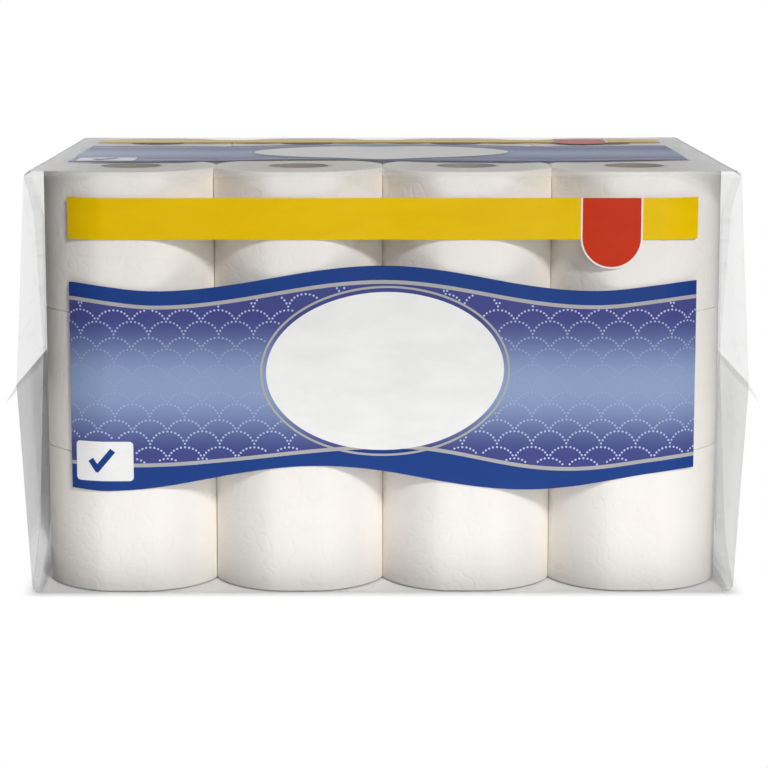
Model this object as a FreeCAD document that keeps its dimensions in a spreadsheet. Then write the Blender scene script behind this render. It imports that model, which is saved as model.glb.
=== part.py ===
# Toilet paper roll pack: 36 rolls, four across, three deep and three high, in one printed film.
# Frame: millimetres, +X to the right along the pack, +Y to the back, +Z up,
# origin on the floor below the middle of the pack.
import FreeCAD
import Part
import os
import Sketcher

os.makedirs("parts", exist_ok=True)
doc = FreeCAD.newDocument("roll_pack")
V = FreeCAD.Vector

# Sizes, one named value each
COLUMNS = 4
ROWS = 3
LAYERS = 3
SIZES = [
    ("columns", COLUMNS, "rolls along the pack"),
    ("rows", ROWS, "rolls from front to back"),
    ("layers", LAYERS, "rolls from floor to top"),
    ("roll_pitch", 116.5, "centre to centre of neighbouring rolls"),
    ("roll_free_diameter", 121.0, "roll before its neighbours press it flat"),
    ("end_bulge", 2.2, "outer side of the end rolls, which no neighbour presses"),
    ("roll_gap", 0.2, "between the pressed flats of two rolls"),
    ("roll_length", 96.4, "width of the paper sheet"),
    ("layer_gap", 0.1, "between two rolls of one stack"),
    ("core_bore", 40.0, "inside of the cardboard core"),
    ("core_wall", 1.0, "cardboard core"),
    ("core_fit", 0.1, "core to paper, all round"),
    ("film_wall", 0.4, "film, thicker than the real one"),
    ("film_gap", 0.4, "film to the sides of the rolls"),
    ("film_seat", 0.1, "film to the ends of the rolls"),
    ("film_long_round", 1.2, "top and bottom edges along the pack"),
    ("film_end_round", 5.0, "top and bottom edges at the ends"),
    ("flap_room", 6.0, "rolls to the end flaps, at the top and bottom"),
    ("seam_room", 14.3, "rolls to the end seam, at mid height"),
    ("pocket_depth", 148.0, "how far the tucked panel goes in at mid height"),
    ("pocket_lip", 3.6, "film left above and below a pocket's mouth"),
    ("pocket_shoulder_in", 54.0, "depth of the pocket's rounded shoulder"),
    ("pocket_shoulder_drop", 22.0, "height of that shoulder below the lip"),
    ("pocket_shoulder_round", 45.0, "its radius"),
    ("hug_radius", 54.0, "film drawn round the corner rolls, inside"),
    ("hug_lead", 0.6, "keeps the drawn corner from meeting the front in a knife edge"),
    ("fin_out", 8.6, "end fin, outwards"),
    ("fin_down", 14.5, "end fin, downwards"),
    ("fin_wall", 0.8, "two films sealed together"),
]
sheet = doc.addObject("Spreadsheet::Sheet", "sizes")
for line, (alias, value, note) in enumerate(SIZES, start=1):
    sheet.set(f"A{line}", alias)
    sheet.set(f"B{line}", str(value))
    sheet.set(f"C{line}", note)
    sheet.setAlias(f"B{line}", alias)
doc.recompute()

# Derived sizes, as expressions on the sheet
S = "sizes."
BLOCK_X = f"({S}columns * {S}roll_pitch / 2 + {S}end_bulge)"
BLOCK_Y = f"({S}rows * {S}roll_pitch / 2)"
BLOCK_Z = f"({S}layers * ({S}roll_length + {S}layer_gap) - {S}layer_gap)"
FLOOR_Z = f"({S}film_wall + {S}film_seat)"
TOP_Z = f"({BLOCK_Z} + 2 * {FLOOR_Z})"
MIDDLE_Z = f"({TOP_Z} / 2)"
FACE_Y = f"({BLOCK_Y} + {S}film_gap + {S}film_wall)"
FLAP_X = f"({BLOCK_X} + {S}flap_room)"
SEAM_X = f"({BLOCK_X} + {S}seam_room)"


# Drawing helpers
def origin_plane(body, role):
    return [feature for feature in body.Origin.OriginFeatures if feature.Role == role][0]


def new_sketch(body, role, label):
    sketch = body.newObject("Sketcher::SketchObject", label)
    sketch.AttachmentSupport = [(origin_plane(body, role), "")]
    sketch.MapMode = "FlatFace"
    return sketch


def outline(sketch, corners):
    """Closed outline through corners, each an (across, up) pair of expressions."""
    count = len(corners)
    first = sketch.GeometryCount
    spots = []
    for index in range(count):
        turn = FreeCAD.Rotation(V(0, 0, 1), 360.0 * index / count)
        spots.append(turn.multVec(V(150, 0, 0)))
    for index in range(count):
        sketch.addGeometry(Part.LineSegment(spots[index], spots[(index + 1) % count]))
    for index in range(count):
        after = first + (index + 1) % count
        sketch.addConstraint(Sketcher.Constraint("Coincident", first + index, 2, after, 1))
    for index, (across, up) in enumerate(corners):
        corner = first + index
        name = sketch.addConstraint(Sketcher.Constraint("DistanceX", -1, 1, corner, 1, spots[index].x))
        sketch.setExpression(f"Constraints[{name}]", across)
        name = sketch.addConstraint(Sketcher.Constraint("DistanceY", -1, 1, corner, 1, spots[index].y))
        sketch.setExpression(f"Constraints[{name}]", up)


def rectangle(sketch, half_x, half_y):
    outline(sketch, [(f"-({half_x})", f"-({half_y})"), (half_x, f"-({half_y})"),
                     (half_x, half_y), (f"-({half_x})", half_y)])


def circle(sketch, diameter):
    index = sketch.addGeometry(Part.Circle(V(0, 0, 0), V(0, 0, 1), 50))
    sketch.addConstraint(Sketcher.Constraint("Coincident", index, 3, -1, 1))
    name = sketch.addConstraint(Sketcher.Constraint("Diameter", index, 100.0))
    sketch.setExpression(f"Constraints[{name}]", diameter)


def pad(body, sketch, length, both_ways=False):
    feature = body.newObject("PartDesign::Pad", sketch.Name + "_pad")
    feature.Profile = sketch
    if both_ways:
        feature.SideType = "Symmetric"
    feature.setExpression("Length", length)
    sketch.Visibility = False
    return feature


def along(edge, axis):
    ends = edge.Vertexes
    if len(ends) < 2:
        return False
    way = (ends[1].Point - ends[0].Point).normalize()
    return abs(abs(way.dot(axis)) - 1) < 1e-6


def at_a_limit(edge, box):
    """Along the feature's top or underside."""
    height = edge.CenterOfMass.z
    return min(height - box.ZMin, box.ZMax - height) < 1e-3


def on_the_way(edge, box):
    """Neither along the top or underside nor at mid height."""
    middle = (box.ZMin + box.ZMax) / 2
    return not at_a_limit(edge, box) and abs(edge.CenterOfMass.z - middle) > 1e-3


def anywhere(edge, box):
    return True


def rounded(body, feature, wanted, axis, radius, label):
    """Rounds the feature's edges that run along axis, where wanted says so."""
    doc.recompute()
    box = feature.Shape.BoundBox
    names = [f"Edge{index}" for index, edge in enumerate(feature.Shape.Edges, start=1)
             if along(edge, axis) and wanted(edge, box)]
    fillet = body.newObject("PartDesign::Fillet", label)
    fillet.Base = (feature, names)
    fillet.setExpression("Radius", radius)
    doc.recompute()
    return fillet


# Film: the whole outside of the pack, drawn once for the outer face and once for the inner one
def hexagon(body, label, inset, depth):
    """Long hexagon seen from the front; inset is measured inwards from the film's outer face."""
    flap = f"({FLAP_X} - {inset})"
    seam = f"({SEAM_X} - {inset})"
    low = f"({inset})"
    high = f"({TOP_Z} - {inset})"
    side = new_sketch(body, "XZ_Plane", label + "_side")
    outline(side, [(f"-{flap}", low), (flap, low), (seam, MIDDLE_Z),
                   (flap, high), (f"-{flap}", high), (f"-{seam}", MIDDLE_Z)])
    return pad(body, side, depth, both_ways=True)


def flap_bore(label, inset):
    """Space between the end flaps, open to the front and to the back."""
    body = doc.addObject("PartDesign::Body", label)
    block = hexagon(body, label, inset, f"2 * {FACE_Y} + {S}film_end_round")
    body.Tip = rounded(body, block, at_a_limit, V(0, 1, 0), f"{S}film_end_round - {inset}",
                       label + "_end_edges")
    return body


def sleeve(label, inset):
    """Film tube seen from the end, with its long edges rounded."""
    body = doc.addObject("PartDesign::Body", label)
    end = new_sketch(body, "YZ_Plane", label + "_end")
    face = f"({FACE_Y} - {inset})"
    low = f"({inset})"
    high = f"({TOP_Z} - {inset})"
    outline(end, [(f"-{face}", low), (face, low), (face, high), (f"-{face}", high)])
    block = pad(body, end, f"2 * ({SEAM_X} + {S}fin_out)", both_ways=True)
    body.Tip = rounded(body, block, anywhere, V(1, 0, 0), f"{S}film_long_round - {inset}",
                       label + "_long_edges")
    return body


def envelope(label, inset):
    """Outside of the pack: the sleeve between the two end flaps."""
    both = doc.addObject("Part::Common", label)
    both.Base = flap_bore(label + "_ends", inset)
    both.Tool = sleeve(label + "_sleeve", inset)
    return both


def pocket_space(label, grow):
    """Tucked space that runs in from the front and from the back, right across the pack."""
    body = doc.addObject("PartDesign::Body", label)
    outside = f"({FACE_Y} + {S}film_end_round)"
    low = f"({S}pocket_lip - {grow})"
    high = f"({TOP_Z} - {S}pocket_lip + {grow})"
    shoulder = f"({FACE_Y} - {S}pocket_shoulder_in - {grow})"
    low_shoulder = f"({low} + {S}pocket_shoulder_drop)"
    high_shoulder = f"({high} - {S}pocket_shoulder_drop)"
    inner = f"({FACE_Y} - {S}pocket_depth - 1.4 * {grow})"
    for sign, name in (("-", "front"), ("", "back")):
        side = new_sketch(body, "YZ_Plane", f"{label}_{name}")
        outline(side, [(f"{sign}{outside}", low), (f"{sign}{FACE_Y}", low),
                       (f"{sign}{shoulder}", low_shoulder), (f"{sign}{inner}", MIDDLE_Z),
                       (f"{sign}{shoulder}", high_shoulder), (f"{sign}{FACE_Y}", high),
                       (f"{sign}{outside}", high)])
        both = pad(body, side, f"2 * ({SEAM_X} + {S}fin_out)", both_ways=True)
    body.Tip = rounded(body, both, on_the_way, V(1, 0, 0), f"{S}pocket_shoulder_round",
                       label + "_shoulders")
    return body


def hugged(label, grow):
    """Upright block with round corners, which the film is drawn round below the top edge."""
    body = doc.addObject("PartDesign::Body", label)
    plan = new_sketch(body, "XY_Plane", label + "_plan")
    rectangle(plan, f"{BLOCK_X} + {S}film_gap + {grow}",
              f"{BLOCK_Y} + {S}film_gap + {S}hug_lead + {grow}")
    block = pad(body, plan, TOP_Z)
    body.Tip = rounded(body, block, anywhere, V(0, 0, 1), f"{S}hug_radius + {grow}",
                       label + "_corners")
    return body


def less(label, base, tool):
    cut = doc.addObject("Part::Cut", label)
    cut.Base = base
    cut.Tool = tool
    return cut


def fin(label, turned):
    """Sealed edge of the end seam, hanging outwards and down."""
    body = doc.addObject("PartDesign::Body", label)
    side = new_sketch(body, "XZ_Plane", label + "_side")
    root = f"({SEAM_X} - {S}film_wall * 2)"
    tip = f"({SEAM_X} + {S}fin_out)"
    outline(side, [(root, f"{MIDDLE_Z} - {S}fin_wall"), (tip, f"{MIDDLE_Z} - {S}fin_down"),
                   (f"{tip} + {S}fin_wall", f"{MIDDLE_Z} - {S}fin_down"),
                   (f"{root} + {S}fin_wall * 1.6", f"{MIDDLE_Z} + {S}fin_wall * 0.6"),
                   (root, f"{MIDDLE_Z} + {S}fin_wall * 0.6")])
    sheet_pad = pad(body, side, f"2 * ({BLOCK_Y} + {S}film_gap)", both_ways=True)
    body.Tip = sheet_pad
    if turned:
        body.Placement = FreeCAD.Placement(V(0, 0, 0), FreeCAD.Rotation(V(0, 0, 1), 180))
    return body


film_outer = envelope("film_outer", "0")
film_inner = envelope("film_inner", f"{S}film_wall")
flap_space = flap_bore("flap_space", f"{S}film_wall")
mouth_outer = less("mouth_outer", pocket_space("pocket_outer", "0"),
                   hugged("hug_outer", f"{S}film_wall"))
mouth_inner = less("mouth_inner", pocket_space("pocket_inner", f"{S}film_wall"),
                   hugged("hug_inner", "0"))
pockets = doc.addObject("Part::Common", "pockets")
pockets.Base = mouth_outer
pockets.Tool = flap_space
tucked = less("tucked", film_outer, pockets)
hollow = less("hollow", film_inner, mouth_inner)
skin = less("skin", tucked, hollow)
film_wrap = doc.addObject("Part::MultiFuse", "film_wrap")
film_wrap.Shapes = [skin, fin("fin_right", False), fin("fin_left", True)]
film_wrap.Label = "film_wrap"


# Rolls: wound paper round a bore, pressed flat by the neighbours and the film
def roll(label, column, row, layer):
    body = doc.addObject("PartDesign::Body", label)
    body.Label = label
    ring = new_sketch(body, "XY_Plane", label + "_ring")
    circle(ring, f"{S}roll_free_diameter")
    circle(ring, f"{S}core_bore + 2 * {S}core_wall + 2 * {S}core_fit")
    wound = pad(body, ring, f"{S}roll_length")
    press = new_sketch(body, "XY_Plane", label + "_press")
    rectangle(press, f"{S}roll_pitch", f"{S}roll_pitch")
    flat = f"(({S}roll_pitch - {S}roll_gap) / 2)"
    left = f"({flat} + {S}end_bulge)" if column == 0 else flat
    right = f"({flat} + {S}end_bulge)" if column == COLUMNS - 1 else flat
    outline(press, [(f"-{left}", f"-{flat}"), (right, f"-{flat}"), (right, flat), (f"-{left}", flat)])
    doc.recompute([body])
    pressed = body.newObject("PartDesign::Pocket", label + "_flats")
    pressed.Profile = press
    pressed.SideType = "Symmetric"
    pressed.setExpression("Length", f"3 * {S}roll_length")
    press.Visibility = False
    body.Tip = pressed
    body.setExpression("Placement.Base.x", f"({column} - ({S}columns - 1) / 2) * {S}roll_pitch")
    body.setExpression("Placement.Base.y", f"({row} - ({S}rows - 1) / 2) * {S}roll_pitch")
    body.setExpression("Placement.Base.z", f"{FLOOR_Z} + {layer} * ({S}roll_length + {S}layer_gap)")
    return body


# Cores: cardboard tubes, the three of one stack together under one name
def tube(label, column, row, layer):
    outer = doc.addObject("Part::Cylinder", label + "_outside")
    outer.setExpression("Radius", f"{S}core_bore / 2 + {S}core_wall")
    outer.setExpression("Height", f"{S}roll_length")
    bore = doc.addObject("Part::Cylinder", label + "_bore")
    bore.setExpression("Radius", f"{S}core_bore / 2")
    bore.setExpression("Height", f"{S}roll_length")
    wall = less(label, outer, bore)
    wall.setExpression("Placement.Base.x", f"({column} - ({S}columns - 1) / 2) * {S}roll_pitch")
    wall.setExpression("Placement.Base.y", f"({row} - ({S}rows - 1) / 2) * {S}roll_pitch")
    wall.setExpression("Placement.Base.z", f"{FLOOR_Z} + {layer} * ({S}roll_length + {S}layer_gap)")
    return wall


nodes = [film_wrap]
for column in range(COLUMNS):
    for row in range(ROWS):
        place = f"c{column + 1}_r{row + 1}"
        tubes = []
        for layer in range(LAYERS):
            nodes.append(roll(f"roll_{place}_l{layer + 1}", column, row, layer))
            tubes.append(tube(f"tube_{place}_l{layer + 1}", column, row, layer))
        stack = doc.addObject("Part::Compound", f"cores_{place}")
        stack.Links = tubes
        stack.Label = f"cores_{place}"
        nodes.append(stack)
doc.recompute()

# Every object sound, then one file a node
for thing in doc.Objects:
    if "Invalid" in thing.State or "Error" in thing.State:
        raise RuntimeError(f"{thing.Name} did not build: {thing.State}")
for node in nodes:
    shape = node.Shape
    if shape.isNull() or not shape.isValid():
        raise RuntimeError(f"{node.Label} has no sound shape")
    shape.exportStep(f"parts/{node.Label}.step")
    if node.Label in ("film_wrap", "roll_c1_r1_l1", "cores_c1_r1"):
        print(node.Label, len(shape.Solids), round(shape.Volume), shape.BoundBox)
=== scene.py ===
# Toilet paper roll pack, dressed: paper, cores, clear film, print, floor and light.
# Metres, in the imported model's frame: +X to the right, +Y to the back, +Z up.
import math
import random

import bpy
from bpy.props import FloatProperty, FloatVectorProperty, PointerProperty
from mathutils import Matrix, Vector, noise


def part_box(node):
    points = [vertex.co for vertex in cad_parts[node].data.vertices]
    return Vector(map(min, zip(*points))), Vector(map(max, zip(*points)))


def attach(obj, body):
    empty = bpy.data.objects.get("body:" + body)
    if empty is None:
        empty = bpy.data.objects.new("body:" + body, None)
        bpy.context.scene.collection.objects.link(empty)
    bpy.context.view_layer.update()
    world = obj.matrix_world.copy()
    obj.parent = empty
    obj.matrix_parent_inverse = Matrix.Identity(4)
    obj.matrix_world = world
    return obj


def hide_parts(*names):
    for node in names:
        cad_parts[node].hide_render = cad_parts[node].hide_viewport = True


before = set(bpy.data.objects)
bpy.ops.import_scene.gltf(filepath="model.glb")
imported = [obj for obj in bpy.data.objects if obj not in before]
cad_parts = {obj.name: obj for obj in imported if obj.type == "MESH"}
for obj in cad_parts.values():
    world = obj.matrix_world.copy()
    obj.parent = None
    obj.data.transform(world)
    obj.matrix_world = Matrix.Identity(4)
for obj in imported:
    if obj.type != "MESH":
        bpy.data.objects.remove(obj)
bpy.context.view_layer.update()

bl_info = {
    "name": "Roll Pack Dresser",
    "version": (1, 0, 0),
    "blender": (4, 5, 0),
    "location": "View3D > Sidebar > Roll Pack",
    "description": "Paper, cores, film and print for a bundle of toilet rolls",
    "category": "Object",
}

COLUMNS, ROWS, LAYERS = 4, 3, 3
ROLL_NODES = {f"roll_c{c + 1}_r{r + 1}_l{l + 1}": (c, r)
              for c in range(COLUMNS) for r in range(ROWS) for l in range(LAYERS)}
CORE_NODES = [f"cores_c{c + 1}_r{r + 1}" for c in range(COLUMNS) for r in range(ROWS)]

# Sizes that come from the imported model
FILM_LOW, FILM_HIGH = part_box("film_wrap")
ROLL_LOW, ROLL_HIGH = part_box("roll_c2_r1_l1")
NEXT_LOW, NEXT_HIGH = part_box("roll_c3_r1_l1")
END_LOW, END_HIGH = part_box("roll_c1_r1_l1")
CORE_LOW, CORE_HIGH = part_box("cores_c1_r1")
PACK_HEIGHT = FILM_HIGH[2] - FILM_LOW[2]
FACE = FILM_HIGH[1]
PITCH = NEXT_LOW[0] - ROLL_LOW[0]
ROLL_LENGTH = ROLL_HIGH[2] - ROLL_LOW[2]
ROLL_FLAT = (ROLL_HIGH[0] - ROLL_LOW[0]) / 2
END_BULGE = END_HIGH[0] - END_LOW[0] - 2 * ROLL_FLAT
CORE_RADIUS = (CORE_HIGH[0] - CORE_LOW[0]) / 2
BLOCK = COLUMNS * PITCH / 2 + END_BULGE
MID_HEIGHT = PACK_HEIGHT / 2


# Sizes and colours that a user would change
def length(description, default):
    """Setting for a length in metres."""
    return FloatProperty(description=description, default=default, unit="LENGTH")


def angle(description, degrees):
    """Setting for an angle."""
    return FloatProperty(description=description, default=math.radians(degrees), subtype="ANGLE")


def number(description, default):
    """Setting for a plain number."""
    return FloatProperty(description=description, default=default)


def paint(description, default):
    """Setting for a colour."""
    return FloatVectorProperty(description=description, default=default, subtype="COLOR",
                               size=3, min=0, max=1)


class PaperSettings(bpy.types.PropertyGroup):
    free_radius: length("Roll before its neighbours press it flat", 0.0605)
    rim_round: length("Soft edge where the turns end", 0.0012)
    paper_colour: paint("Colour of the tissue", (0.93, 0.895, 0.85))
    # Painted light: lighter, warmer tissue where light bounces between two rolls
    painted_notch_light_colour: paint("Colour of the tissue between two rolls", (0.99, 0.945, 0.885))
    core_colour: paint("Colour of the core", (0.30, 0.235, 0.175))


class FilmSettings(bpy.types.PropertyGroup):
    flap_reach: length("Middle of the pack to the end flaps, at the top", BLOCK + 0.0060)
    seam_reach: length("Middle of the pack to the end seam", BLOCK + 0.0143)
    hug_radius: length("Film drawn round the corner rolls", 0.0544)
    end_round: length("Top and bottom edges at the ends", 0.005)
    long_round: length("Top and bottom edges along the pack", 0.0012)
    pocket_lip: length("Film left above and below a pocket's mouth", 0.0036)
    pocket_depth: length("How far the tucked panel goes in at mid height", 0.148)
    shoulder_in: length("Depth of the pocket's shoulder", 0.054)
    shoulder_drop: length("Height of that shoulder below the lip", 0.022)
    valley_sag: length("Film drawn in between two rolls", 0.0011)
    ripple: length("Height of the film's small folds", 0.0003)
    fin_out: length("Sealed edge of the end seam, outwards", 0.0086)
    fin_down: length("Sealed edge of the end seam, downwards", 0.0145)
    film_tint: paint("Tint of the clear film", (0.90, 0.91, 0.92))
    haze: number("How much of the film is seen instead of what is behind it", 0.04)


class PrintSettings(bpy.types.PropertyGroup):
    half_width: length("Middle of the panel to the print's end, along the film", 0.2158)
    ink_lift: length("Ink above the film, and each ink above the last", 0.00018)
    stripe_low: length("Lower edge of the yellow stripe", 0.2442)
    stripe_high: length("Upper edge of the yellow stripe", 0.2724)
    dot_gap: length("Part of a scale's width that falls to one dot", 0.0237 / 12)
    dot_radius: length("Size of a dot of the scale pattern", 0.00075)
    scale_width: length("Width of one scale of the pattern", 0.0237)
    scale_drop: length("Height of one scale's arch", 0.0077)
    line_gap: length("Between two lines of scales, on average", 0.00945)
    line_pairing: length("How much every second line is raised", 0.0016)
    line_deeper: length("How much further every second line comes down", 0.0009)
    scale_shift: length("Pattern moved along the film", -0.0050)
    scale_foot: length("Crest of the lowest line of scales", 0.0640)
    yellow: paint("Stripe", (0.90, 0.58, 0.0))
    white: paint("Oval, badge and outlines", (0.92, 0.915, 0.91))
    red: paint("Tab", (0.62, 0.037, 0.007))
    navy: paint("Band's borders", (0.015, 0.055, 0.255))
    silver: paint("Lines beside the borders", (0.46, 0.45, 0.45))
    indigo: paint("Band's field beside its borders", (0.062, 0.072, 0.25))
    steel: paint("Middle of the band's field", (0.27, 0.36, 0.57))
    pale_blue: paint("Dots of the scale pattern", (0.52, 0.60, 0.84))


class StageSettings(bpy.types.PropertyGroup):
    camera_distance: length("Camera to the front of the pack", 1.7384)
    camera_height: length("Camera above the floor", 0.4248)
    camera_aside: length("Camera to the right of the pack's middle", -0.0089)
    camera_pitch: angle("Camera turned down", 9.126)
    camera_yaw: angle("Camera turned to the right", 0.316)
    focal_pixels: number("In pixels of a 768-pixel frame", 2585.2)
    key_power: number("Power of the main lamp, watts", 150.0)
    card_power: number("Light thrown up by the floor before the pack, watts", 0.62)
    room: number("Strength of the light from all round", 0.02)


SETTINGS = {
    "pack_paper": PaperSettings,
    "pack_film": FilmSettings,
    "pack_print": PrintSettings,
    "pack_stage": StageSettings,
}


# Small helpers
def smooth_low(a, b, reach):
    """The smaller of two values, rounded over where they cross."""
    mix = max(reach - abs(a - b), 0.0) / reach
    return min(a, b) - mix * mix * reach * 0.25


def between(low, high, value):
    """Eased 0 to 1 as value goes from low to high."""
    share = min(max((value - low) / (high - low), 0.0), 1.0)
    return share * share * (3 - 2 * share)


def spread(low, high, count):
    """Values at even steps from low to high."""
    return [low + (high - low) * i / (count - 1) for i in range(count)]


def both_ways(places):
    """Places to both sides of the first, which is 0."""
    return [-p for p in reversed(places[1:])] + places


def from_edge(height):
    """How far a height is from the nearer of the top and the underside."""
    return min(height, PACK_HEIGHT - height)


def off_pitch(value):
    """How far a value is from the nearest whole pitch."""
    share = value / PITCH % 1.0
    return min(share, 1 - share) * PITCH


def placed(name, data):
    """Object of the data, in the scene."""
    made = bpy.data.objects.new(name, data)
    bpy.context.scene.collection.objects.link(made)
    return made


def new_object(name, points, faces, materials, face_materials=None, sheet=None):
    """Smooth mesh object, with each point's place on the flat sheet as its map."""
    mesh = bpy.data.meshes.new(name)
    mesh.from_pydata([tuple(p) for p in points], [], faces)
    for material in materials:
        mesh.materials.append(material)
    if face_materials:
        mesh.polygons.foreach_set("material_index", face_materials)
    if sheet:
        layer = mesh.uv_layers.new(name="sheet")
        for loop in mesh.loops:
            layer.data[loop.index].uv = sheet[loop.vertex_index]
    mesh.polygons.foreach_set("use_smooth", [True] * len(mesh.polygons))
    mesh.validate()
    mesh.update()
    return placed(name, mesh)


class Patchwork:
    """Gathers grids of points into one mesh with several materials."""

    def __init__(self):
        self.points, self.faces, self.kinds, self.sheet = [], [], [], []

    def grid(self, rows, sheet, kind=0, flip=False):
        """Adds rows of points; sheet gives each its place on the flat film."""
        start, wide = len(self.points), len(rows[0])
        for row, places in zip(rows, sheet):
            self.points += row
            self.sheet += places
        for r in range(len(rows) - 1):
            for c in range(wide - 1):
                a = start + r * wide + c
                corners = (a, a + 1, a + wide + 1, a + wide)
                self.faces.append(corners[::-1] if flip else corners)
                self.kinds.append(kind)

    def make(self, name, materials):
        return new_object(name, self.points, self.faces, materials, self.kinds, self.sheet)


# Rolls: wound paper, pressed flat by the neighbours, with a soft rim and a bore
TOUCHING = PITCH / 2 - 0.000005             # axis to a flat, a hair short of the neighbour
UNEVEN = 0.000004                           # how much the outside wavers
TIGHT_ROUND, LOOSE_ROUND = 0.0003, 0.0024   # edges of a flat: between columns, elsewhere
END_DOME = 0.0004                           # how much a roll's end may bulge
CORE_PLAY = 0.0001                          # bore round the core
RIGHT, BACK, LEFT, AHEAD = range(4)
QUARTER = math.pi / 2


def roll_flats(column):
    """Axis to the pressed flats on the right, the back, the left and the front."""
    right = TOUCHING + (END_BULGE if column == COLUMNS - 1 else 0.0)
    left = TOUCHING + (END_BULGE if column == 0 else 0.0)
    return right, TOUCHING, left, TOUCHING


def roll_section(radius, flats, angle):
    """Distance from the axis to the outside at an angle."""
    beside = flats[RIGHT if math.cos(angle) > 0 else LEFT]
    deep = flats[BACK if math.sin(angle) > 0 else AHEAD] / max(abs(math.sin(angle)), 1e-6)
    rounding = TIGHT_ROUND if beside < PITCH / 2 else LOOSE_ROUND
    section = smooth_low(radius, beside / max(abs(math.cos(angle)), 1e-6), rounding)
    return smooth_low(section, deep, LOOSE_ROUND)


def roll_angles(radius, flats):
    """Angles round the section, close together where a pressed flat begins."""
    angles, close = [], math.radians(1.0)
    halves = [math.acos(flat / radius) for flat in flats]
    for turn, half in enumerate(halves):
        middle = turn * QUARTER
        stop = QUARTER - halves[(turn + 1) % 4]
        angles += [middle + a for a in [-half] + spread(close - half, half - close, 7)]
        angles += [middle + a for a in [half] + spread(half + close, stop - close, 26)]
    return angles


def roll_profile():
    """Rings of a roll from its bore over the lower end, the side and the upper end, back to the bore."""
    quarter = spread(0, QUARTER, 6)[1:-1]
    profile = [("end", share, False) for share in spread(0, 1, 9)]
    profile += [("rim", turn, False) for turn in quarter]
    profile += [("side", share, False) for share in spread(0, 1, 11)]
    profile += [("rim", turn, True) for turn in reversed(quarter)]
    profile += [("end", share, True) for share in spread(1, 0, 9)]
    return profile + [("bore", share, False) for share in (0.75, 0.5, 0.25)]


def roll_mesh(settings, low, high, column, row, seed):
    """Points and faces of one roll, with each point's place on the paper: radius and height."""
    bore, rim = CORE_RADIUS + CORE_PLAY, settings.rim_round
    middle_x = (column - (COLUMNS - 1) / 2) * PITCH
    middle_y = (row - (ROWS - 1) / 2) * PITCH
    flats = roll_flats(column)
    angles = roll_angles(settings.free_radius, flats)
    lean = random.Random(seed).uniform(-1, 1)
    profile, points, sheet = roll_profile(), [], []
    for kind, value, top in profile:
        for turn in angles:
            outer = roll_section(settings.free_radius, flats, turn)
            place = Vector((math.cos(turn) * 2 + seed * 3.1, math.sin(turn) * 2, value))
            outer -= UNEVEN * (1 + noise.noise(place))
            if kind == "end":
                reach = bore + (outer - rim - bore) * value
                rise = END_DOME * math.sin(math.pi * value) * (1 + lean)
            elif kind == "rim":
                reach = outer - rim * (1 - math.sin(value))
                rise = rim * (1 - math.cos(value))
            elif kind == "side":
                reach, rise = outer, rim + (ROLL_LENGTH - 2 * rim) * value
            else:
                reach, rise = bore, ROLL_LENGTH * value
            height = high[2] - rise if top else low[2] + rise
            points.append((middle_x + reach * math.cos(turn), middle_y + reach * math.sin(turn), height))
            sheet.append((reach, height - low[2]))
    faces, around = [], len(angles)
    for ring in range(len(profile)):
        near, far = ring * around, (ring + 1) % len(profile) * around
        for step in range(around):
            after = (step + 1) % around
            faces.append((near + step, near + after, far + after, far + step))
    return points, faces, sheet


# Film: where the sheet runs
SIDE_PLAY, FRONT_PLAY = 0.0008, 0.0006   # film round the corner rolls
SHOULDER_ROUND = 0.03
EASED = 0.03                             # sags ease out over this much towards an edge
VALLEY_WIDE, DIP_WIDE, TOP_DIP = 0.022, 0.02, 0.0008
NORMAL_STEP = 0.0006
FOLD_SEED = 1                            # the same small folds at every run
WAVE_WAY, CRIMP_HIGH, CRIMP_TURNS = Vector((0.6, 0, 0.8)), 0.00022, 34   # of the sealed seam


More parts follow.
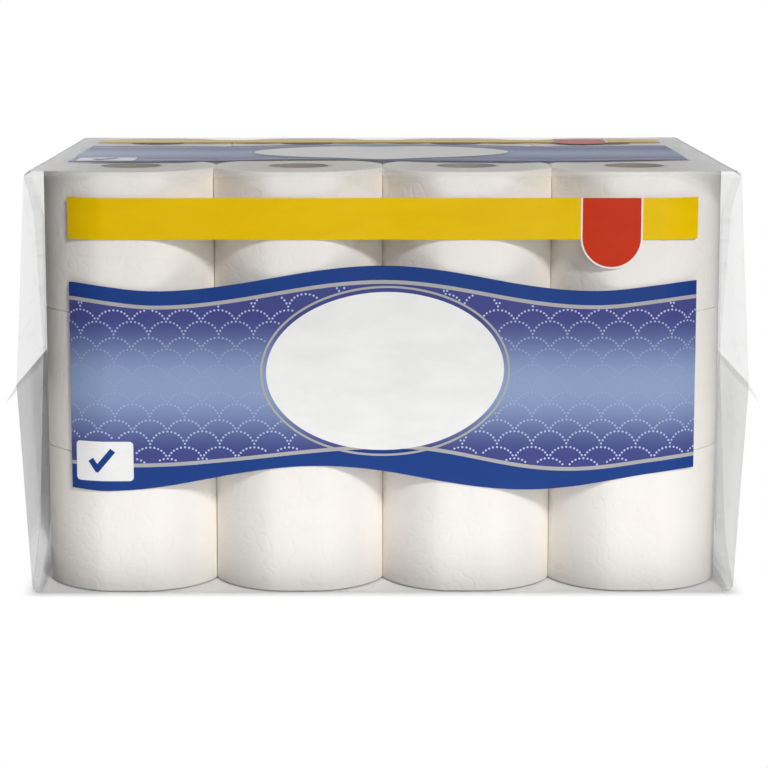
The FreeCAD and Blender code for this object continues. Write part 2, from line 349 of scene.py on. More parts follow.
class FilmForm:
    """Place of any point of the film, from the film settings."""

    def __init__(self, settings):
        noise.seed_set(FOLD_SEED)
        self.set = settings
        self.arc_x = BLOCK + SIDE_PLAY - settings.hug_radius
        self.arc_y = FACE + FRONT_PLAY - settings.hug_radius
        self.arc_start = math.acos((FACE - self.arc_y) / settings.hug_radius)
        self.flat_end = self.arc_x + settings.hug_radius * math.sin(self.arc_start)
        self.fall = settings.seam_reach - settings.flap_reach
        self.bend = math.atan2(MID_HEIGHT, self.fall)
        self.trim = settings.end_round * math.tan(self.bend / 2)
        self.top_flat = settings.flap_reach - self.trim

    def flap_x(self, height):
        """Middle of the pack to the end flap at a height."""
        edge, rounding = from_edge(height), self.set.end_round
        if edge < rounding * (1 - math.cos(self.bend)):
            turn = math.acos(1 - max(edge, 0.0) / rounding)
            return self.top_flat + rounding * math.sin(turn)
        return self.set.flap_reach + self.fall * edge / MID_HEIGHT

    def pocket_in(self, height):
        """How far the tucked panel has gone in at a height."""
        down = from_edge(height) - self.set.pocket_lip
        if down <= 0:
            return 0.0
        first = down * self.set.shoulder_in / self.set.shoulder_drop
        rest = MID_HEIGHT - self.set.pocket_lip - self.set.shoulder_drop
        slope = (self.set.pocket_depth - self.set.shoulder_in) / rest
        second = self.set.shoulder_in + (down - self.set.shoulder_drop) * slope
        return max(smooth_low(first, second, SHOULDER_ROUND), 0.0)

    def hug_length(self, height):
        """Film from the middle of the panel to where it leaves the rolls, at a height."""
        left = FACE - self.pocket_in(height) - self.arc_y
        if left > 0:
            turn = math.acos(min(left / self.set.hug_radius, 1.0))
            return self.flat_end + max(turn - self.arc_start, 0.0) * self.set.hug_radius
        return self.flat_end + (QUARTER - self.arc_start) * self.set.hug_radius - left

    def plain(self, along, height):
        """Front film at a length along it from the middle, with no folds: x, depth behind the face."""
        hug, radius = self.hug_length(height), self.set.hug_radius
        inside = min(abs(along), hug)
        turn = self.arc_start + (inside - self.flat_end) / radius
        if inside <= self.flat_end:
            x, depth = inside, 0.0
        elif turn < QUARTER:
            x = self.arc_x + radius * math.sin(turn)
            depth = FACE - self.arc_y - radius * math.cos(turn)
        else:
            x = self.arc_x + radius
            depth = FACE - self.arc_y + (turn - QUARTER) * radius
        x += max(abs(along) - hug, 0.0)
        return (-x if along < 0 else x), depth

    def valley(self, x, height):
        """Film drawn in between the rolls, easing out towards the top and bottom edges."""
        near = min(abs(x - seam) for seam in (-PITCH, 0.0, PITCH))
        sag = self.set.valley_sag * math.exp(-(near / VALLEY_WIDE) ** 2)
        return sag * between(0.0, EASED, from_edge(height))

    def folds(self, point, share):
        """Small folds, the same wherever two panels meet."""
        broad = noise.noise_vector(Vector((point[0] * 8, point[1] * 8, point[2] * 14)))
        fine = noise.noise_vector(Vector((point[0] * 24, point[1] * 24, point[2] * 34)))
        return (broad * 0.85 + fine * 0.15) * self.set.ripple * share

    def bare(self, along, height):
        """Point of the front panel without its rounded edges and its folds."""
        x, depth = self.plain(along, height)
        if abs(x) < self.flat_end:
            depth += self.valley(x, height)
        return Vector((x, -FACE + depth, height))

    def front(self, along, height, lift=0.0):
        """Point of the front panel, lifted off the film along its normal."""
        point = self.bare(along, height)
        edge, rounding = from_edge(height), self.set.long_round
        if edge < rounding:
            point.y += rounding - math.sqrt(max(rounding ** 2 - (rounding - edge) ** 2, 0.0))
        free = between(self.flat_end - 0.02, self.flat_end + 0.05, abs(along))
        point += self.folds(point, 0.25 + 0.9 * free)
        point.z = max(point.z, 0.0)
        if lift:
            way = self.bare(along + NORMAL_STEP, height) - self.bare(along - NORMAL_STEP, height)
            point += way.cross(Vector((0, 0, 1))).normalized() * lift
        return point

    def over(self, along, y, lift=0.0):
        """Point of the top panel and the upper flaps, along from the middle of the top."""
        side, run, rounding = (-1 if along < 0 else 1), abs(along), self.set.end_round
        turn = min(max((run - self.top_flat) / rounding, 0.0), self.bend)
        rest = run - self.top_flat - rounding * turn
        x = self.top_flat + rounding * math.sin(turn) + rest * math.cos(turn)
        z = PACK_HEIGHT - rounding * (1 - math.cos(turn)) - rest * math.sin(turn)
        if turn == 0.0:
            near = math.hypot(off_pitch(x), off_pitch(y + PITCH / 2))
            edge = min(self.top_flat - run, FACE - abs(y))
            z -= TOP_DIP * math.exp(-(near / DIP_WIDE) ** 2) * between(0.0, EASED, edge)
        point = Vector((side * x, y, z))
        free = between(BLOCK - 0.02, BLOCK + 0.01, x)
        point += self.folds(point, 0.25 + 1.2 * free)
        return point + Vector((side * math.sin(turn), 0, math.cos(turn))) * lift

    def over_length(self):
        """Half the film from seam to seam, over the top."""
        bent = self.set.end_round * self.bend
        return self.top_flat + bent + math.hypot(MID_HEIGHT, self.fall) - self.trim


def turned_back(point):
    """The same place on the back panel."""
    return Vector((-point[0], -point[1], point[2]))


def upside_down(point):
    """The same place on the underside."""
    return Vector((point[0], point[1], max(PACK_HEIGHT - point[2], 0.0)))


def film_rows():
    """Heights of the front panel's rows: close at the edges and the pocket's shoulder."""
    lower = spread(0.0, 0.0012, 4) + [0.0020, 0.0036]
    lower += spread(0.0036, 0.040, 24)[1:] + spread(0.040, MID_HEIGHT, 34)[1:]
    return lower + [PACK_HEIGHT - height for height in reversed(lower[:-1])]


def front_grid(form, piece, turn=None):
    """The front panel with its two tucked ends, from flap to flap; turn puts it at the back."""
    rows, sheet = [], []
    for height in film_rows():
        hug = form.hug_length(height)
        reach = hug + max(form.flap_x(height) - form.plain(hug, height)[0], 0.0)
        places = spread(0, form.flat_end, 60)
        places += spread(form.flat_end, max(hug, form.flat_end), 28)[1:]
        places += spread(max(hug, form.flat_end), reach, 9)[1:]
        line = both_ways(places)
        points = [form.front(p, height) for p in line]
        rows.append([turn(p) for p in points] if turn else points)
        sheet.append([(p, height) for p in line])
    piece.grid(rows, sheet)


def over_grid(form, piece, under=False):
    """The top panel and both upper flaps in one strip, or the underside and the lower ones."""
    flat, rim = form.set.flap_reach - 0.006, form.set.long_round
    places = spread(0, flat, 60) + spread(flat, flat + 0.014, 12)[1:]
    line = both_ways(places + spread(flat + 0.014, form.over_length(), 34)[1:])

    def strip(line, depths, flip):
        rows = [[form.over(p, y) for p in line] for y in depths]
        if under:
            rows = [[upside_down(p) for p in row] for row in rows]
        piece.grid(rows, [[(p, y) for p in line] for y in depths], flip=flip != under)

    strip(line, spread(-FACE + rim, FACE - rim, 88), False)
    for side in (-1, 1):
        for end in (-1, 1):
            strip([p for p in line if p * side > flat + 0.004],
                  (end * (FACE - rim), end * FACE), end < 0)


def fin_grid(form, piece, side):
    """Crimped edge of an end seam, hanging outwards and down."""
    drop = Vector((form.set.fin_out, 0, -form.set.fin_down))
    rows, sheet = [], []
    for y in spread(-FACE, FACE, 120):
        wave = noise.noise(Vector((y * 14, side * 5.0, 0.3))) * 0.0016
        wave += noise.noise(Vector((y * 55, side * 9.0, 1.7))) * 0.0005
        row, places = [], []
        for share in spread(0, 1, 10):
            point = Vector((form.set.seam_reach, y, MID_HEIGHT)) + drop * share
            point += WAVE_WAY * wave * share
            point.x += CRIMP_HIGH * math.sin(share * CRIMP_TURNS)
            row.append(Vector((side * point.x, point.y, point.z)))
            places.append((y, share * drop.length))
        rows.append(row)
        sheet.append(places)
    piece.grid(rows, sheet, flip=side > 0)


# Print: fields of ink that follow the film
BAND_TOP = ((-0.2177, 0.2148), (-0.154, 0.2092), (0.0, 0.2265), (0.143, 0.2092), (0.2177, 0.2156))
BAND_FOOT = ((-0.2177, 0.0725), (-0.190, 0.0715), (-0.045, 0.0888), (0.0995, 0.0721), (0.2177, 0.0862))
FOOT_LINE = ((-0.2177, 0.0890), (-0.170, 0.0880), (0.008, 0.1007), (0.1254, 0.0851), (0.2177, 0.0941))
BORDER, LINE = 0.0098, 0.0026
OVAL = (0.0014, 0.1542, 0.0810, 0.0544, math.radians(1.5))   # place, half sizes, tilt
TOP_OVAL_LONGER = 1.14
TOP_PANEL = (1.02, -0.0015, 1.175, 0.001)   # along: times, plus; height: times, plus
TAB = (0.1348, 0.1742, 0.2256)              # left, right, foot
BADGE, BADGE_ROUND = (-0.2113, -0.1706, 0.0784, 0.1058), 0.0028   # left, right, foot, top
TICK_WIDE = 0.0042
TICK = ((3, [(-0.2002, 0.0932), (-0.1947, 0.0854)]), (3.5, [(-0.1967, 0.0854), (-0.1847, 0.0997)]))
RING_GAP, RING_WIDE = 0.0034, 0.0015
INKS = ("Yellow", "White", "Red", "Navy", "Silver")
YELLOW, WHITE, RED, NAVY, SILVER, BAND = range(6)
ALONG_STEPS, FIELD_ROWS = 161, 36


def edge_of(knots, shift=0.0):
    """Smooth edge through (place, height) knots, shifted upwards, as a function of the place."""
    def height(along):
        if along <= knots[0][0]:
            return knots[0][1] + shift
        for left, right in zip(knots, knots[1:]):
            if along <= right[0]:
                share = (along - left[0]) / (right[0] - left[0])
                eased = (1 - math.cos(math.pi * share)) / 2
                return left[1] + (right[1] - left[1]) * eased + shift
        return knots[-1][1] + shift
    return height


class Panel:
    """One printed panel: turns a place on the print into a place on the pack."""

    def __init__(self, form, name, lift):
        self.form, self.name, self.lift = form, name, lift

    def place(self, along, height, level):
        """Point of the print; each level lies one lift above the last."""
        lift = self.lift * level
        if self.name == "top":
            longer, shift, deeper, start = TOP_PANEL
            return self.form.over(along * longer + shift, -FACE + start + height * deeper, lift)
        point = self.form.front(along, height, lift)
        return turned_back(point) if self.name == "back" else point

    def field(self, piece, kind, places, foot, top, rows):
        """Ink between two edges, each a function of the place along the film."""
        points, sheet = [], []
        for share in spread(0, 1, rows):
            line = [(p, foot(p) + (top(p) - foot(p)) * share) for p in places]
            points.append([self.place(a, h, 1) for a, h in line])
            sheet.append(line)
        piece.grid(points, sheet, kind)

    def disc(self, piece, kind, level, outline, centre, rings):
        """Ink inside an outline round a centre."""
        points, sheet = [], []
        outline = stepped(outline + outline[:1], 0.003)
        for share in spread(0.0005, 1, rings):
            ring = [(centre[0] + (a - centre[0]) * share, centre[1] + (h - centre[1]) * share)
                    for a, h in outline]
            points.append([self.place(a, h, level) for a, h in ring])
            sheet.append(ring)
        piece.grid(points, sheet, kind, flip=True)

    def stroke(self, piece, kind, level, spine, wide):
        """Ink line of even width along a spine."""
        spine = stepped(spine, 0.002)
        left, right = [], []
        for i, (a, h) in enumerate(spine):
            before, after = spine[max(i - 1, 0)], spine[min(i + 1, len(spine) - 1)]
            way = Vector((after[0] - before[0], after[1] - before[1])).normalized() * (wide / 2)
            left.append((a - way[1], h + way[0]))
            right.append((a + way[1], h - way[0]))
        rows = [[self.place(a, h, level) for a, h in side] for side in (right, left)]
        piece.grid(rows, [right, left], kind)


def stepped(line, step):
    """The same line of places with no two further apart than a step."""
    made = []
    for (a, h), (next_a, next_h) in zip(line, line[1:]):
        count = max(math.ceil(math.hypot(next_a - a, next_h - h) / step), 1)
        made += [(a + (next_a - a) * i / count, h + (next_h - h) * i / count) for i in range(count)]
    return made + line[-1:]


def oval_of(name):
    """Middle, half sizes and tilt of a panel's oval, which is longer on the top."""
    along, height, half_wide, half_high, tilt = OVAL
    return along, height, half_wide * (TOP_OVAL_LONGER if name == "top" else 1.0), half_high, tilt


def ellipse(oval, count, grow=0.0):
    """Outline of an oval, grown all round."""
    along, height, half_wide, half_high, tilt = oval
    made = []
    for step in range(count):
        turn = 2 * math.pi * step / count
        a, h = (half_wide + grow) * math.cos(turn), (half_high + grow) * math.sin(turn)
        made.append((along + a * math.cos(tilt) - h * math.sin(tilt),
                     height + a * math.sin(tilt) + h * math.cos(tilt)))
    return made


def rounded_box(left, right, foot, top, radius, steps=7):
    """Outline of a box with round corners."""
    made = []
    for x, z, start in ((right - radius, top - radius, 0), (left + radius, top - radius, 90),
                        (left + radius, foot + radius, 180), (right - radius, foot + radius, 270)):
        for step in range(steps + 1):
            turn = math.radians(start + 90 * step / steps)
            made.append((x + radius * math.cos(turn), z + radius * math.sin(turn)))
    return made


def print_panel(form, settings, name):
    """All the flat inks of one panel as one piece."""
    panel, piece = Panel(form, name, settings.ink_lift), Patchwork()
    places = spread(-settings.half_width, settings.half_width, ALONG_STEPS)
    low, high = settings.stripe_low, settings.stripe_high
    top, top_line = edge_of(BAND_TOP), edge_of(BAND_TOP, -BORDER)
    field_top, field_foot = edge_of(BAND_TOP, -BORDER - LINE), edge_of(FOOT_LINE, LINE)
    foot, foot_line = edge_of(BAND_FOOT), edge_of(FOOT_LINE)
    for kind, lower, upper, rows in (
            (YELLOW, edge_of([(0.0, low)]), edge_of([(0.0, high)]), 8), (NAVY, top_line, top, 4),
            (SILVER, field_top, top_line, 2), (BAND, field_foot, field_top, FIELD_ROWS),
            (SILVER, foot_line, field_foot, 2), (NAVY, foot, foot_line, 5)):
        panel.field(piece, kind, places, lower, upper, rows)
    oval = oval_of(name)
    panel.disc(piece, WHITE, 2, ellipse(oval, 120), oval[:2], 26)
    ring = ellipse(oval, 160, RING_GAP)
    panel.stroke(piece, SILVER, 2, ring + ring[:1], RING_WIDE)
    left, right, tab_foot = TAB
    for level, kind, grow in ((2, WHITE, 0.0012), (3, RED, 0.0)):
        tab = rounded_box(left - grow, right + grow, tab_foot - grow, high,
                          (right - left) / 2 + grow - 0.0001, 12)
        square = [(a, high if h > low + 0.004 else h) for a, h in tab]
        panel.disc(piece, kind, level, square, ((left + right) / 2, low), 10)
    middle = ((BADGE[0] + BADGE[1]) / 2, (BADGE[2] + BADGE[3]) / 2)
    panel.disc(piece, WHITE, 2, rounded_box(*BADGE, BADGE_ROUND), middle, 10)
    for level, spine in TICK:
        panel.stroke(piece, NAVY, level, spine, TICK_WIDE)
    return piece


def band_field(form, settings, name):
    """The band's field alone, to carry the dots; it isn't kept."""
    panel, piece = Panel(form, name, settings.ink_lift), Patchwork()
    panel.field(piece, 0, spread(-settings.half_width, settings.half_width, ALONG_STEPS),
                edge_of(FOOT_LINE, LINE + settings.dot_radius),
                edge_of(BAND_TOP, -BORDER - LINE - settings.dot_radius), FIELD_ROWS)
    return piece


# Nodes, for geometry and for shaders
class Wire:
    """Output of a node, so that sums made of nodes read like sums."""

    def __init__(self, node, name=0):
        self.tree, self.socket = node.id_data, node.outputs[name]

    def __add__(self, other):
        return sum_of("ADD", self, other)

    def __sub__(self, other):
        return sum_of("SUBTRACT", self, other)

    def __rsub__(self, other):
        return sum_of("SUBTRACT", other, self)

    def __mul__(self, other):
        return sum_of("MULTIPLY", self, other)

    def __truediv__(self, other):
        return sum_of("DIVIDE", self, other)

    def __abs__(self):
        return sum_of("ABSOLUTE", self)


def feed(socket, value):
    """Gives a socket a wire, a colour or any other value."""
    if isinstance(value, Wire):
        value.tree.links.new(value.socket, socket)
    elif socket.type == "RGBA":
        socket.default_value = (*value, 1.0)
    else:
        socket.default_value = value


def add_node(tree, kind, inputs=(), **settings):
    """New node with its settings and its inputs."""
    node = tree.nodes.new(kind)
    for name, value in settings.items():
        setattr(node, name, value)
    for name, value in dict(inputs).items():
        feed(node.inputs[name], value)
    return node


def sum_of(operation, *values):
    """Maths node on wires and numbers."""
    tree = next(value.tree for value in values if isinstance(value, Wire))
    return Wire(add_node(tree, "ShaderNodeMath", enumerate(values), operation=operation))


def axes(vector):
    """X, Y and Z of a vector."""
    apart = add_node(vector.tree, "ShaderNodeSeparateXYZ", {0: vector})
    return [Wire(apart, axis) for axis in "XYZ"]


def node_group(name, kind, inputs, outputs):
    """Node group with named sockets; gives its tree, its inputs as wires and its end node."""
    tree = bpy.data.node_groups.new(name, kind)
    for way, sockets in (("INPUT", inputs), ("OUTPUT", outputs)):
        for title, socket in sockets.items():
            tree.interface.new_socket(title, in_out=way, socket_type="NodeSocket" + socket)
    start = tree.nodes.new("NodeGroupInput")
    return tree, {title: Wire(start, title) for title in inputs}, tree.nodes.new("NodeGroupOutput")


# Dots of the scale pattern, laid on the band's field
DOT_SETTINGS = ("Dot gap", "Dot radius", "Scale width", "Scale drop", "Line gap", "Line pairing",
                "Line deeper", "Scale shift", "Scale foot")
DOT_PLACES = ("Half width", "Height", "Lift", "Oval along", "Oval height", "Oval half width",
              "Oval half height", "Badge end", "Badge top")
ARCH_SWING = -0.07      # dots of an arch crowd towards its feet
FOOT_DOT = 0.46         # from the middle of an arch to the foot that two arches share
DOT_CORNERS = 7
DOT_COLUMNS, DOT_LINES = 9.5, 19
DOT_LEVEL = 0.6         # of an ink's lift, above the band's field
BADGE_FREE = 0.001      # kept free of dots round the badge


def scale_dots_tree():
    """Geometry nodes: lines of arches, dot after dot, put on a panel through its sheet map."""
    tree, given, end = node_group(
        "Scale Dots", "GeometryNodeTree",
        {"Panel": "Object", "Ink": "Material",
         **{name: "Float" for name in DOT_SETTINGS + DOT_PLACES}},
        {"Geometry": "Geometry"})
    reach, lines = given["Half width"] * 2.0, sum_of("ROUND", given["Height"] / given["Line gap"])
    grid = add_node(tree, "GeometryNodeMeshGrid", {
        "Size X": reach, "Size Y": given["Height"], "Vertices Y": lines + 1.0,
        "Vertices X": sum_of("ROUND", reach / given["Dot gap"]) + 1.0})

    x, y, _ = axes(Wire(add_node(tree, "GeometryNodeInputPosition")))
    raised = y + given["Height"] * 0.5
    odd = sum_of("MODULO", sum_of("ROUND", raised * lines / given["Height"]), 2.0)
    inside = sum_of("FRACT", x / given["Scale width"] + odd * 0.5 + 40.001)
    arch = sum_of("SINE", inside * math.pi)
    fall = odd * given["Line deeper"] + given["Scale drop"]
    height = (arch - 1.0) * fall + (raised + (odd * given["Line pairing"] + given["Scale foot"]))
    swing = sum_of("SINE", inside * (2 * math.pi)) * ARCH_SWING
    aside = swing * given["Scale width"] + (x + given["Scale shift"])

    panel = add_node(tree, "GeometryNodeObjectInfo", {"Object": given["Panel"]})
    sheet, way = (add_node(tree, "GeometryNodeInputNamedAttribute", {"Name": name},
                           data_type="FLOAT_VECTOR") for name in ("sheet", "way"))
    flat = Wire(add_node(tree, "ShaderNodeCombineXYZ", {"X": aside, "Y": height}))
    place, normal = (add_node(tree, "GeometryNodeSampleUVSurface", {
        "Mesh": Wire(panel, "Geometry"), "Value": Wire(add_node(tree, kind)),
        "UV Map": Wire(sheet, "Attribute"), "Sample UV": flat}, data_type="FLOAT_VECTOR")
        for kind in ("GeometryNodeInputPosition", "GeometryNodeInputNormal"))

    def squared(value, centre, half):
        share = (value - given[centre]) / given[half]
        return share * share

    in_oval = sum_of("LESS_THAN", squared(aside, "Oval along", "Oval half width")
                     + squared(height, "Oval height", "Oval half height"), 1.0)
    in_badge = (sum_of("LESS_THAN", aside, given["Badge end"])
                * sum_of("LESS_THAN", height, given["Badge top"]))
    outside = 1.0 - Wire(place, "Is Valid")
    under_peak = (1.0 - odd) * sum_of("GREATER_THAN", abs(inside - 0.5), FOOT_DOT)
    drop = sum_of("GREATER_THAN", in_oval + in_badge + outside + under_peak, 0.5)

    def stored(points, name, kind, value):
        return Wire(add_node(tree, "GeometryNodeStoreNamedAttribute", {
            "Geometry": points, "Name": name, "Value": value}, data_type=kind, domain="POINT"))

    points = stored(Wire(grid, "Mesh"), "tone", "FLOAT", raised / given["Height"])
    points = Wire(add_node(tree, "GeometryNodeDeleteGeometry", {
        "Geometry": points, "Selection": drop}, domain="POINT"))
    points = stored(points, "way", "FLOAT_VECTOR", Wire(normal, "Value"))
    lift = Wire(add_node(tree, "ShaderNodeVectorMath", {
        0: Wire(normal, "Value"), "Scale": given["Lift"]}, operation="SCALE"))
    points = Wire(add_node(tree, "GeometryNodeSetPosition", {
        "Geometry": points, "Position": Wire(place, "Value"), "Offset": lift}))

    dot = add_node(tree, "GeometryNodeMeshCircle", {
        "Vertices": DOT_CORNERS, "Radius": given["Dot radius"]}, fill_type="NGON")
    facing = add_node(tree, "FunctionNodeAlignRotationToVector", {
        "Vector": Wire(way, "Attribute")}, axis="Z")
    put = add_node(tree, "GeometryNodeInstanceOnPoints", {
        "Points": points, "Instance": Wire(dot, "Mesh"), "Rotation": Wire(facing)})
    real = add_node(tree, "GeometryNodeRealizeInstances", {0: Wire(put)})
    ink = add_node(tree, "GeometryNodeSetMaterial", {"Geometry": Wire(real), "Material": given["Ink"]})
    feed(end.inputs["Geometry"], Wire(ink))
    return tree


def dotted(panel, carrier, tree, settings, ink):
    """Lays the dots on the carrier and keeps them as a plain mesh; the carrier goes."""
    name, (along, height, half_wide, half_high, _) = "print_dots_" + panel, oval_of(panel)
    start = new_object(name + "_seed", [(0, 0, 0)], [], [ink])
    modifier = start.modifiers.new("Scale dots", "NODES")
    modifier.node_group = tree
    values = {name: getattr(settings, name.lower().replace(" ", "_")) for name in DOT_SETTINGS}
    values |= {"Panel": carrier, "Ink": ink, "Lift": settings.ink_lift * DOT_LEVEL,
               "Half width": settings.scale_width * DOT_COLUMNS,
               "Height": settings.line_gap * DOT_LINES, "Oval along": along, "Oval height": height,
               "Oval half width": half_wide + RING_GAP + RING_WIDE,
               "Oval half height": half_high + RING_GAP + RING_WIDE,
               "Badge end": BADGE[1] + BADGE_FREE, "Badge top": BADGE[3] + BADGE_FREE}
    for item in tree.interface.items_tree:
        if item.item_type == "SOCKET" and item.in_out == "INPUT":
            modifier[item.identifier] = values[item.name]
    graph = bpy.context.evaluated_depsgraph_get()
    graph.update()
    mesh = bpy.data.meshes.new_from_object(start.evaluated_get(graph))
    mesh.name = name
    bpy.data.objects.remove(start)
    bpy.data.objects.remove(carrier)
    return placed(name, mesh)


# Shader helpers
MIX_FIRST, MIX_SECOND, MIX_COLOUR = 6, 7, 2   # the mix node's sockets for colours


def noise_at(vector, scale, detail=2.0, roughness=0.5):
    """Soft noise at a place."""
    return Wire(add_node(vector.tree, "ShaderNodeTexNoise", {
        "Vector": vector, "Scale": scale, "Detail": detail, "Roughness": roughness}))


def ranged(value, from_low, from_high, to_low=0.0, to_high=1.0, ease="SMOOTHSTEP"):
    """Value brought from one range to another, and kept inside it."""
    return Wire(add_node(value.tree, "ShaderNodeMapRange", {
        "Value": value, "From Min": from_low, "From Max": from_high, "To Min": to_low,
        "To Max": to_high}, interpolation_type=ease))


def stretched(vector, scale):
    """Place scaled along each axis."""
    return Wire(add_node(vector.tree, "ShaderNodeMapping", {"Vector": vector, "Scale": scale}))


def mixed(share, first, second):
    """Colour between two others."""
    return Wire(add_node(share.tree, "ShaderNodeMix", {
        0: share, MIX_FIRST: first, MIX_SECOND: second}, data_type="RGBA"), MIX_COLOUR)


def object_place(tree):
    """Place in the pack's own frame."""
    return Wire(add_node(tree, "ShaderNodeTexCoord"), "Object")


def sheet_place(tree):
    """The two numbers of the piece's sheet map."""
    return axes(Wire(add_node(tree, "ShaderNodeUVMap", uv_map="sheet")))[:2]


def bump(shader, height, strength, distance):
    """Relief from a height."""
    feed(shader.inputs["Normal"], Wire(add_node(height.tree, "ShaderNodeBump", {
        "Strength": strength, "Distance": distance, "Height": height})))


def darker(colour, share):
    """Colour with less light."""
    return tuple(part * share for part in colour)


def film_creases(name):
    """Fine creases of stretched film: a height for the bump and a mask of the sharp lines, which the
    film shows denser: partly the whitening of stretched film, partly painted glints.
    """
    tree, given, end = node_group(name, "ShaderNodeTree", {"Place": "Vector"},
                                  {"Height": "Float", "Lines": "Float"})
    wide = noise_at(stretched(given["Place"], (9.0, 9.0, 30.0)), 1.0, 3.0, 0.55)
    fine = noise_at(stretched(given["Place"], (60.0, 60.0, 130.0)), 1.0, 3.0, 0.6)
    feed(end.inputs["Height"], fine * 0.4 + wide)
    feed(end.inputs["Lines"], ranged(abs(wide - 0.5), 0.0, 0.028, 1.0, 0.0))
    return tree


def paper_grain(name):
    """Soft grain of paper or board: a height and a tone."""
    tree, given, end = node_group(name, "ShaderNodeTree", {"Place": "Vector", "Size": "Float"},
                                  {"Height": "Float", "Tone": "Float"})
    scaled = Wire(add_node(tree, "ShaderNodeVectorMath", {
        0: given["Place"], "Scale": given["Size"]}, operation="SCALE"))
    fine = noise_at(scaled, 420.0, 3.0, 0.6)
    feed(end.inputs["Height"], fine)
    feed(end.inputs["Tone"], fine * 0.25 + noise_at(scaled, 28.0) * 0.75)
    return tree


def band_colour(name):
    """Colour of the band by the share of its height: indigo at both edges, steel blue between."""
    tree, given, end = node_group(name, "ShaderNodeTree", {
        "Share": "Float", "Indigo": "Color", "Steel": "Color"}, {"Colour": "Color"})
    share = ranged(abs(given["Share"] - 0.47), 0.02, 0.38)
    feed(end.inputs["Colour"], mixed(share, given["Steel"], given["Indigo"]))
    return tree


def grouped(tree, name, make, inputs):
    """Node of a material for a shader group, which is made once and shared."""
    group = bpy.data.node_groups.get(name) or make(name)
    return add_node(tree, "ShaderNodeGroup", inputs, node_tree=group)


def material(name, looks):
    """New material, its tree and its shader, with the looks that stay the same all over."""
    made = bpy.data.materials.new(name)
    made.use_nodes = True
    shader = next(n for n in made.node_tree.nodes if n.type == "BSDF_PRINCIPLED")
    for title, value in looks.items():
        shader.inputs[title].default_value = value
    return made, made.node_tree, shader


# Materials
TURN_GAP = 0.0017                       # between the turns that show on a roll's end
NOTCH_FAR, NOTCH_NEAR = 0.022, 0.006    # from a seam: where the painted light in the notch (lighter, warmer paper standing for light bounced between two rolls) ends and begins
# How milky the film looks: end flaps, their lower halves at the right and left end, top, and the top
# past the rolls. The lower halves' milk is partly a second layer and partly painted shade, more at the
# left end; past the rolls the top is grey and dense, painted shade
FLAP_MILK, LOW_MILK_AND_SHADE, TOP_MILK, TOP_SHADE_MILK = 0.13, (0.24, 0.44), 0.15, 0.72
CLEAR, CRIMPED = 1.0, 0.3               # times that milk, on the sheet and on the crimped seams
INK_LOOKS = {"Roughness": 0.4, "Specular IOR Level": 0.1, "Coat Weight": 0.15, "Coat Roughness": 0.12}


def tissue_material(settings):
    """White paper, pressed in flower rings on its side, its turns showing on its ends; lighter and
    warmer near the seams between the middle rolls, painted light for the light bounced between them.
    """
    made, tree, shader = material("Tissue", {"Roughness": 0.95, "Specular IOR Level": 0.15})
    place = object_place(tree)
    grain = grouped(tree, "Paper Grain", paper_grain, {"Place": place, "Size": 1.0})
    radius = sheet_place(tree)[0]
    wander = noise_at(stretched(place, (14.0, 14.0, 5.0)), 1.0)
    turns = sum_of("SINE", radius * (2 * math.pi / TURN_GAP)) * ranged(wander, 0.35, 0.7)
    on_end = ranged(radius, ROLL_FLAT * 0.955, ROLL_FLAT * 0.9)
    tone = on_end * (turns * 0.3 + 0.35) + ranged(Wire(grain, "Tone"), 0.35, 0.65) * 0.25
    x = axes(place)[0]
    # Painted light: the paper turns lighter and warmer near each seam between two rolls, where light
    # bounces; the outer sides of the end rolls are left out
    beside = ranged(sum_of("PINGPONG", x, PITCH / 2), NOTCH_FAR, NOTCH_NEAR)
    painted_notch_light = beside * ranged(abs(x), 1.7 * PITCH, 1.6 * PITCH)
    shade = tuple(c * k for c, k in zip(settings.paper_colour, (0.93, 0.92, 0.90)))
    colour = mixed(tone, settings.paper_colour, shade)
    feed(shader.inputs["Base Color"], mixed(painted_notch_light, colour, settings.painted_notch_light_colour))
    petals = add_node(tree, "ShaderNodeTexVoronoi", {
        "Vector": place, "Scale": 90.0, "Smoothness": 0.5}, feature="SMOOTH_F1")
    pressed = ranged(abs(Wire(petals, "Distance") - 0.42), 0.0, 0.12) * (1.0 - on_end)
    relief = pressed * 0.4 + (Wire(grain, "Height") * 0.4 + turns * on_end * 0.4)
    bump(shader, relief, 0.5, 0.0006)
    return made


def board_material(settings):
    """Grey-brown board of the cores."""
    made, tree, shader = material("Core Board", {"Roughness": 0.85})
    grain = grouped(tree, "Paper Grain", paper_grain, {"Place": object_place(tree), "Size": 0.6})
    feed(shader.inputs["Base Color"], mixed(ranged(Wire(grain, "Tone"), 0.3, 0.7), darker(
        settings.core_colour, 0.72), settings.core_colour))
    bump(shader, Wire(grain, "Height"), 0.4, 0.0004)
    return made


